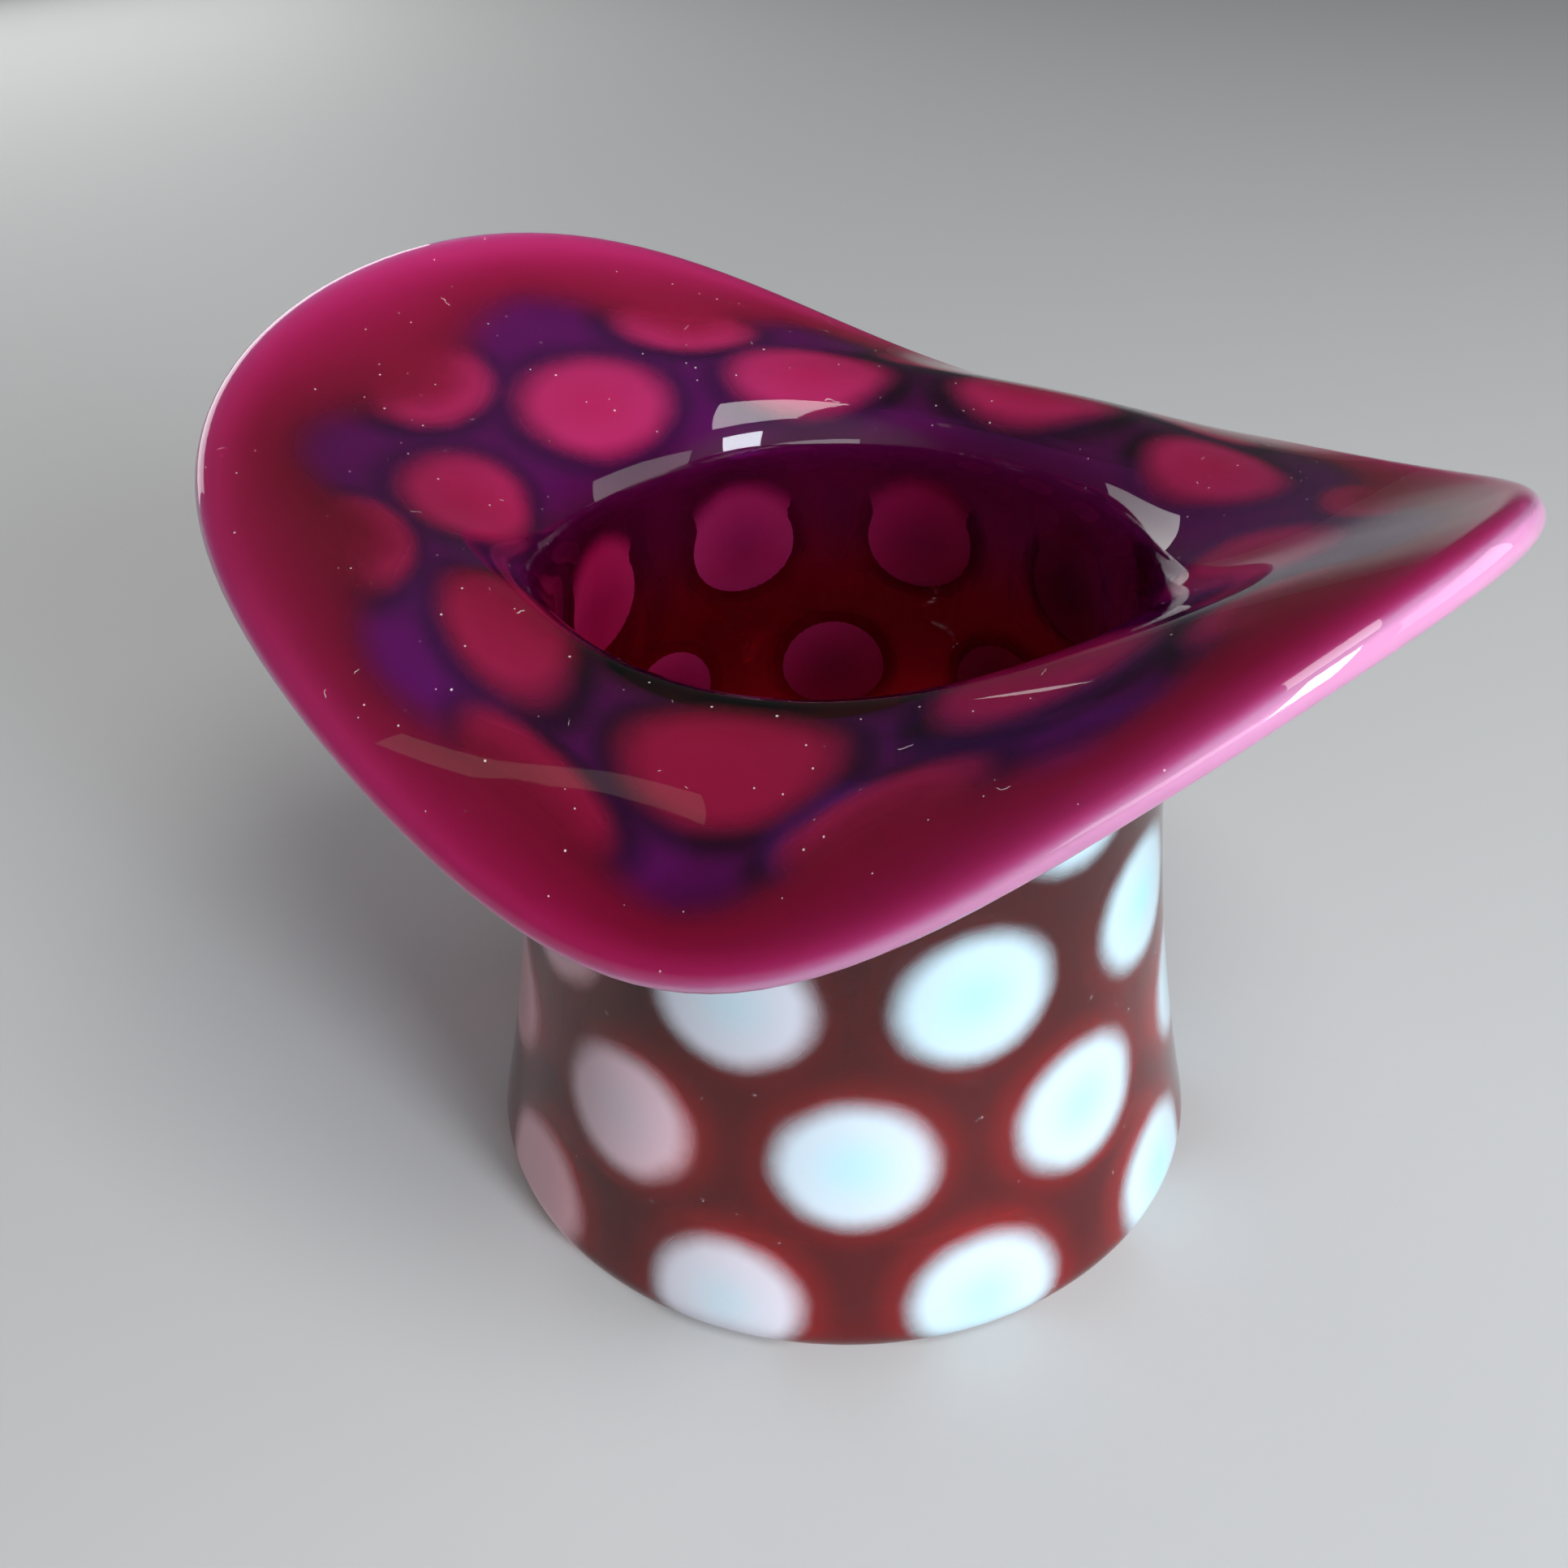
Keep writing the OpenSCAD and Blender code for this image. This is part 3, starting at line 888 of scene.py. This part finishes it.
@dataclass
class GlassWall:
    """The blown wall: the clear skin all over it, a veil of painted shade in the casing, and the ruby
    lining fused inside.
    """

    form: HatForm
    pattern: DotPattern
    columns: int = 144
    veil_columns: int = 216
    veil_fine: int = 3
    foot_steps: int = 16
    corner_steps: int = 10
    crown_steps: int = 26
    brim_steps: int = 44
    rim_steps: int = 14
    well_steps: int = 52
    floor_steps: int = 20
    skin_t: float = 0.05
    crown_veil: float = 1.75
    brim_veil: float = 0.6
    veil_t: float = 0.2
    veil_turn: float = 12.0
    seeds: int = 70
    seed_draw: int = 7
    seed_low: float = 2.0
    seed_depth: Span = (0.4, 0.9)
    seed_r: Span = (0.1, 0.24)
    seed_stretch: Span = (1.0, 1.6)
    seed_clear: float = 1.2
    seed_segments: int = 12
    seed_rings: int = 8
    optic_h: float = 0.35
    optic_fade: float = 6.0
    optic_reach: float = 1.2

    def blown(self, s: float, a: float, depth: float, floor: float) -> Vector:
        """A point of the wall, whose well face bulges behind each dot, as in a spotted mould.

        Args:
            s: place along the wall.
            a: direction in radians.
            depth: distance in from the outer face.
            floor: share of the well's floor.

        Returns:
            Point in metres.
        """
        f = self.form
        share = max(0.0, depth - f.casing_t) / f.lining_t
        ends = min(s - f.floor_at, f.neck_at - s) / self.optic_fade
        if floor == 0 and share > 0 and ends > 0:
            between = eased(self.pattern.away(f, s, a) / self.optic_reach)
            depth -= self.optic_h * share * between * min(1.0, ends)
        return f.wall(s, a, depth, floor)

    def up(self, depth: Callable[[float], float], fine: int = 1) -> Section:
        """Section from the middle of the foot up to the rim.

        Args:
            depth: gives the distance in from the outer face at a place along the wall.
            fine: how many times finer its steps are on the crown than the skin's.

        Returns:
            Its points.
        """
        f = self.form
        places = steps(-f.flat_r, 0.0, self.foot_steps)
        places += steps(0.0, f.round_len, self.corner_steps)[1:]
        places += steps(f.round_len, f.neck_at, self.crown_steps * fine)[1:]
        places += steps(f.neck_at, f.rim_at, self.brim_steps)[1:]
        return [(s, depth(s), 0.0) for s in places]

    def down(self, depth: float) -> Section:
        """Section from the rim down the well to the middle of its floor.

        Args:
            depth: distance in from the outer face.

        Returns:
            Its points.
        """
        f = self.form
        places = steps(f.rim_at, f.neck_at, self.brim_steps)[1:]
        places += steps(f.neck_at, f.floor_at, self.well_steps)[1:]
        section = [(s, depth, 0.0) for s in places]
        return section + [(f.floor_at, depth, t) for t in steps(0.0, 2.0, self.floor_steps)[1:]]

    def veil(self, s: float) -> float:
        """Depth of the painted shade veil in the casing: behind the dots as they are seen, and shallow at
        the foot.

        Args:
            s: place along the wall.

        Returns:
            Distance in from the outer face.
        """
        above = eased((s - self.form.neck_at) / self.veil_turn + 0.5)
        shallow = above + eased(1 - s / self.veil_turn)
        return self.crown_veil + (self.brim_veil - self.crown_veil) * shallow

    def add_seeds(self, skin: BMesh) -> None:
        """Adds seed bubbles to the clear glass between the dots: small hollows whose faces look in.

        Args:
            skin: the skin's mesh.
        """
        f = self.form
        dice = random.Random(self.seed_draw)
        bm = bmesh.new()
        left = self.seeds
        while left:
            s = dice.uniform(self.seed_low, f.neck_at)
            a = dice.uniform(-math.pi, math.pi)
            if self.pattern.away(f, s, a) < self.seed_clear:
                continue
            r = dice.uniform(*self.seed_r) * MM
            at = Matrix.Translation(f.wall(s, a, dice.uniform(*self.seed_depth)))
            bmesh.ops.create_uvsphere(
                bm,
                u_segments=self.seed_segments,
                v_segments=self.seed_rings,
                radius=1.0,
                matrix=at @ Matrix.Diagonal((r, r, r * dice.uniform(*self.seed_stretch), 1.0)),
            )
            left -= 1
        bmesh.ops.reverse_faces(bm, faces=bm.faces)
        mesh = bpy.data.meshes.new("seeds")
        bm.to_mesh(mesh)
        bm.free()
        skin.from_mesh(mesh)
        bpy.data.meshes.remove(mesh)

    def build(self, clear: Material, shade_finish: Material, ruby: Material) -> None:
        """Makes the skin, the veil of painted shade in the casing and the lining.

        Args:
            clear: the skin's finish.
            shade_finish: the veil's finish, painted shade.
            ruby: the lining's finish.
        """
        f = self.form
        rim = f.over(0.0, math.pi, self.rim_steps, 0.0)
        skin = self.up(lambda s: 0.0) + rim[1:] + self.down(f.wall_t)
        bm = spun(skin, self.columns, self.blown)
        self.add_seeds(bm)
        piece("casing_skin", bm, clear, "clear_casing")
        # The veil of painted shade, which darkens the glass and has painted halos near the dots.
        depth = self.up(self.veil, self.veil_fine)
        depth += self.up(lambda s: self.veil(s) + self.veil_t, self.veil_fine)[::-1]
        bm = spun(depth, self.veil_columns, f.wall)
        along = bm.verts.layers.float["along"]
        away = bm.verts.layers.float.new("away")
        for vert in bm.verts:
            vert[away] = self.pattern.away(f, vert[along], math.atan2(vert.co.y, vert.co.x))
        piece("casing_painted_shade", bm, shade_finish, "clear_casing")
        rim = f.over(f.fuse_roll(f.fuse(f.rim_at)), math.pi, self.rim_steps, self.skin_t)
        lining = self.up(f.fuse) + rim + self.down(f.wall_t - self.skin_t)
        bm = spun(lining, self.columns, self.blown)
        piece("ruby_lining_wall", bm, ruby, "ruby_lining")


@dataclass
class OpalDots:
    """One row of struck opal dots, each a lens that lies in the casing, with painted shade towards one
    side.
    """

    form: HatForm
    pattern: DotPattern
    number: int
    cover: float = 0.16
    behind: float = 0.15
    flatness: float = 0.4
    spread: float = 1.2
    painted_shade_dir: float = -130.0
    painted_shade_power: float = 5.0
    segments: int = 36
    rings: int = 18

    def build(self, opal: Material) -> None:
        """Makes the row.

        Args:
            opal: its finish.
        """
        f = self.form
        at, first, half_w, half_h = self.pattern.row(self.number, f)
        low, high = self.cover, f.casing_t - self.behind
        bm = bmesh.new()
        strike, painted_shade = (bm.verts.layers.float.new(name) for name in ("strike", "painted_shade"))
        for k in range(self.pattern.dots):
            a = first + k * self.pattern.pitch
            # Share of painted shade: most on the dots that face the shade's direction.
            shade_share = towards(a, self.painted_shade_dir, self.painted_shade_power)
            reach = f.outer_face(at, a)[0].x
            lens = bmesh.ops.create_uvsphere(
                bm, u_segments=self.segments, v_segments=self.rings, radius=1.0
            )
            for vert in lens["verts"]:
                x, y, z = vert.co
                vert[strike] = 1 - math.hypot(x, y)
                vert[painted_shade] = shade_share
                swell = math.copysign(abs(z) ** self.flatness, z)
                depth = (low + high) / 2 - swell * (high - low) / 2
                x, y = x * self.spread, y * self.spread
                vert.co = f.wall(at + y * half_h, a + x * half_w / reach, depth)
        bmesh.ops.recalc_face_normals(bm, faces=bm.faces)
        name = f"opal_dots_row_{self.number}"
        piece(f"{name}_lenses", bm, opal, name)


@dataclass
class OpalRim:
    """The struck opal band along the edge of the brim, with a soft scalloped inner edge, and painted shade
    towards one side.
    """

    form: HatForm
    pattern: DotPattern
    cover: float = 0.2
    behind: float = 0.1
    spread: float = 6.0
    swell: float = 3.0
    reach_in: float = 3.8
    rim_cover: float = 0.08
    roll_short: float = 0.15
    painted_shade_dir: float = -115.0
    painted_shade_power: float = 2.0
    rim_painted_shade: float = 0.4
    columns: int = 144
    across: int = 30
    rolls: int = 10

    @property
    def start(self) -> float:
        """Place along the wall at which the milk begins to show."""
        return self.pattern.band_at(self.form) - self.spread

    def place(self, s: float, a: float, depth: float, floor: float) -> Vector:
        """Places a point of the band, whose inner edge runs in towards each dot of the outer row.

        Args:
            s: place along the wall.
            a: direction in radians.
            depth: distance in from the outer face.
            floor: share of the well's floor.

        Returns:
            Point in metres.
        """
        f = self.form
        share = clamped((f.rim_at - s) / (f.rim_at - self.start))
        first = self.pattern.row(self.pattern.rows, f)[1]
        wave = self.reach_in * math.cos(self.pattern.dots * (a - first))
        return f.wall(s - wave * share, a, depth, floor)

    def section(self) -> Section:
        """Section of the band, out under its skin, over the rim and back along the lining.

        Returns:
            Its points.
        """
        f = self.form
        last = f.fuse_roll(f.fuse(f.rim_at)) - self.roll_short
        middle = (self.cover + f.casing_t) / 2
        outer: Section = []
        inner: Section = []
        for t in steps(0.0, 1.0, self.across):
            s = self.start + t * (f.rim_at - self.start)
            swell = math.sqrt(min(1.0, self.swell * t))
            cover = self.cover + (self.rim_cover - self.cover) * t
            outer.append((s, middle + (cover - middle) * swell, 0.0))
            inner.append((s, middle + (f.fuse(s) - self.behind - middle) * swell, 0.0))
        return outer + f.over(0.0, last, self.rolls, self.rim_cover)[1:] + inner[::-1]

    def build(self, opal: Material) -> None:
        """Makes the band.

        Args:
            opal: its finish.
        """
        bm = spun(self.section(), self.columns, self.place)
        along = bm.verts.layers.float["along"]
        strike, painted_shade = (bm.verts.layers.float.new(name) for name in ("strike", "painted_shade"))
        for vert in bm.verts:
            struck = min(1.0, (vert[along] - self.start) / (self.form.rim_at - self.start))
            # Painted shade towards one side, kept in part at the rim's very edge.
            side = towards(math.atan2(vert.co.y, vert.co.x), self.painted_shade_dir, self.painted_shade_power)
            vert[strike] = struck
            vert[painted_shade] = side * (1 - (1 - self.rim_painted_shade) * struck)
        piece("opal_rim_band_core", bm, opal, "opal_rim_band")


@dataclass(frozen=True)
class Lamp:
    """A soft area lamp that looks at a point, in metres and watts."""

    name: str
    place: tuple[float, float, float]
    size: Span
    power: float
    colour: Colour = (1.0, 1.0, 1.0)
    aim: tuple[float, float, float] = (0.0, 0.0, 0.04)

    def build(self) -> None:
        """Makes the lamp."""
        data = bpy.data.lights.new(self.name, "AREA")
        data.shape = "RECTANGLE"
        data.size, data.size_y = self.size
        data.energy = self.power
        data.color = self.colour
        lamp = bpy.data.objects.new(self.name, data)
        lamp.location = self.place
        look = Vector(self.aim) - Vector(self.place)
        lamp.rotation_euler = look.to_track_quat("-Z", "Y").to_euler()
        bpy.context.scene.collection.objects.link(lamp)


@dataclass(frozen=True)
class Studio:
    """Plain pale floor, soft lamps and the surrounding light."""

    floor_size: float = 6.0
    floor_colour: Colour = (0.5, 0.498, 0.493)
    floor_rough: float = 0.7
    sky_colour: Colour = (0.93, 0.96, 1.0)
    around: float = 0.07
    above: float = 0.1
    above_range: Span = (0.35, 1.0)
    front: float = 0.55
    front_dir: float = 50.0
    front_range: Span = (0.45, 0.9)
    lamps: tuple[Lamp, ...] = (
        Lamp("key_softbox", (0.586, -0.202, 0.266), (0.18, 0.36), 4.4, (0.84, 0.92, 1.0)),
        Lamp("top_softbox", (0.26, -0.1, 0.57), (0.28, 0.28), 1.9),
        Lamp("front_fill", (0.42, -0.38, 0.1), (0.5, 0.14), 0.9),
        Lamp("left_fill", (-0.593, 0.216, 0.2), (0.5, 0.3), 1.2),
        Lamp("back_fill", (0.476, 0.275, 0.2), (0.5, 0.3), 1.0),
        Lamp("reflector_card", (-0.109, -0.437, 0.536), (0.05, 0.06), 0.007, (1.0, 0.86, 0.66)),
    )

    def build_floor(self) -> None:
        """Makes the floor."""
        bm = bmesh.new()
        bmesh.ops.create_grid(bm, x_segments=1, y_segments=1, size=self.floor_size / 2)
        mesh = bpy.data.meshes.new("studio_floor")
        bm.to_mesh(mesh)
        bm.free()
        mat = bpy.data.materials.new("pale_floor")
        mat.use_nodes = True
        paint = mat.node_tree.nodes["Principled BSDF"]
        paint.inputs["Base Color"].default_value = (*self.floor_colour, 1.0)
        paint.inputs["Roughness"].default_value = self.floor_rough
        mesh.materials.append(mat)
        floor = bpy.data.objects.new("studio_floor", mesh)
        bpy.context.scene.collection.objects.link(floor)

    def build_world(self) -> None:
        """Makes the surrounding light, which is stronger overhead and on the front side."""
        world = bpy.data.worlds.new("studio_world")
        world.use_nodes = True
        kit = NodeTree(world.node_tree)
        way = kit.add("ShaderNodeTexCoord").outputs["Generated"]
        height = kit.add("ShaderNodeSeparateXYZ", {"Vector": way}).outputs["Z"]
        turn = math.radians(self.front_dir)
        front = {0: way, 1: (math.sin(turn), -math.cos(turn), 0.0)}
        ahead = kit.add("ShaderNodeVectorMath", front, operation="DOT_PRODUCT").outputs["Value"]
        upper = kit.maths("MULTIPLY", kit.ramp(height, *self.above_range), self.above)
        wall = kit.maths("MULTIPLY", kit.ramp(ahead, *self.front_range), self.front)
        glow = kit.maths("ADD", kit.maths("ADD", upper, wall), self.around)
        takes = {"Color": (*self.sky_colour, 1.0), "Strength": glow}
        sky = kit.add("ShaderNodeBackground", takes).outputs["Background"]
        kit.add("ShaderNodeOutputWorld", {"Surface": sky})
        bpy.context.scene.world = world

    def build(self) -> None:
        """Makes the floor, the surrounding light and the lamps."""
        self.build_floor()
        self.build_world()
        for lamp in self.lamps:
            lamp.build()


@dataclass(frozen=True)
class PhotoCamera:
    """The camera at the photograph's viewing angle, in millimetres and degrees."""

    azimuth: float = 34.23
    elevation: float = 34.14
    roll: float = -1.29
    distance: float = 164.99
    aside: float = -5.32
    height: float = 38.08
    lens: float = 41.34
    sensor: float = 36.0
    nearest: float = 5.0

    def build(self) -> None:
        """Makes the camera and sets it as the scene's."""
        a, e, r = (math.radians(v) for v in (self.azimuth, self.elevation, self.roll))
        right = Vector((math.cos(a), math.sin(a), 0.0))
        back = Vector((math.sin(a) * math.cos(e), -math.cos(a) * math.cos(e), math.sin(e)))
        up = back.cross(right)
        place = (self.aside * right + Vector((0, 0, self.height)) + self.distance * back) * MM
        x = math.cos(r) * right + math.sin(r) * up
        y = back.cross(x)
        data = bpy.data.cameras.new("photo_camera")
        data.lens = self.lens
        data.sensor_width = self.sensor
        data.clip_start = self.nearest * MM
        camera = bpy.data.objects.new("photo_camera", data)
        camera.matrix_world = Matrix.Translation(place) @ Matrix((x, y, back)).transposed().to_4x4()
        bpy.context.scene.collection.objects.link(camera)
        bpy.context.scene.camera = camera


def main() -> None:
    """Builds the camera, the hat and the studio."""
    logging.basicConfig(level=logging.INFO, format="%(message)s")
    scene = bpy.context.scene
    scene.view_settings.view_transform = "Standard"
    scene.cycles.transparent_max_bounces = CLEAR_BOUNCES
    scene.cycles.max_bounces = GLASS_BOUNCES
    scene.cycles.transmission_bounces = GLASS_BOUNCES
    PhotoCamera().build()
    form, pattern = HatForm(), DotPattern()
    clear = ClearGlass().material(BlownSkin().group())
    GlassWall(form, pattern).build(clear, PaintedShadeVeil().material(), RubyGlass().material())
    milk = StruckMilk().group()
    crown_opal, brim_opal, rim_opal = (opal.material(milk) for opal in (CROWN_OPAL, BRIM_OPAL, RIM_OPAL))
    for number in range(1, pattern.crown_rows + 1):
        OpalDots(form, pattern, number).build(crown_opal)
    for number in range(pattern.crown_rows + 1, pattern.rows + 1):
        # The brim's dots take their painted shade towards the front left.
        OpalDots(form, pattern, number, spread=1.24, painted_shade_dir=-85.0, painted_shade_power=4.0).build(brim_opal)
    OpalRim(form, pattern).build(rim_opal)
    Studio().build()


if __name__ == "__main__":
    main()
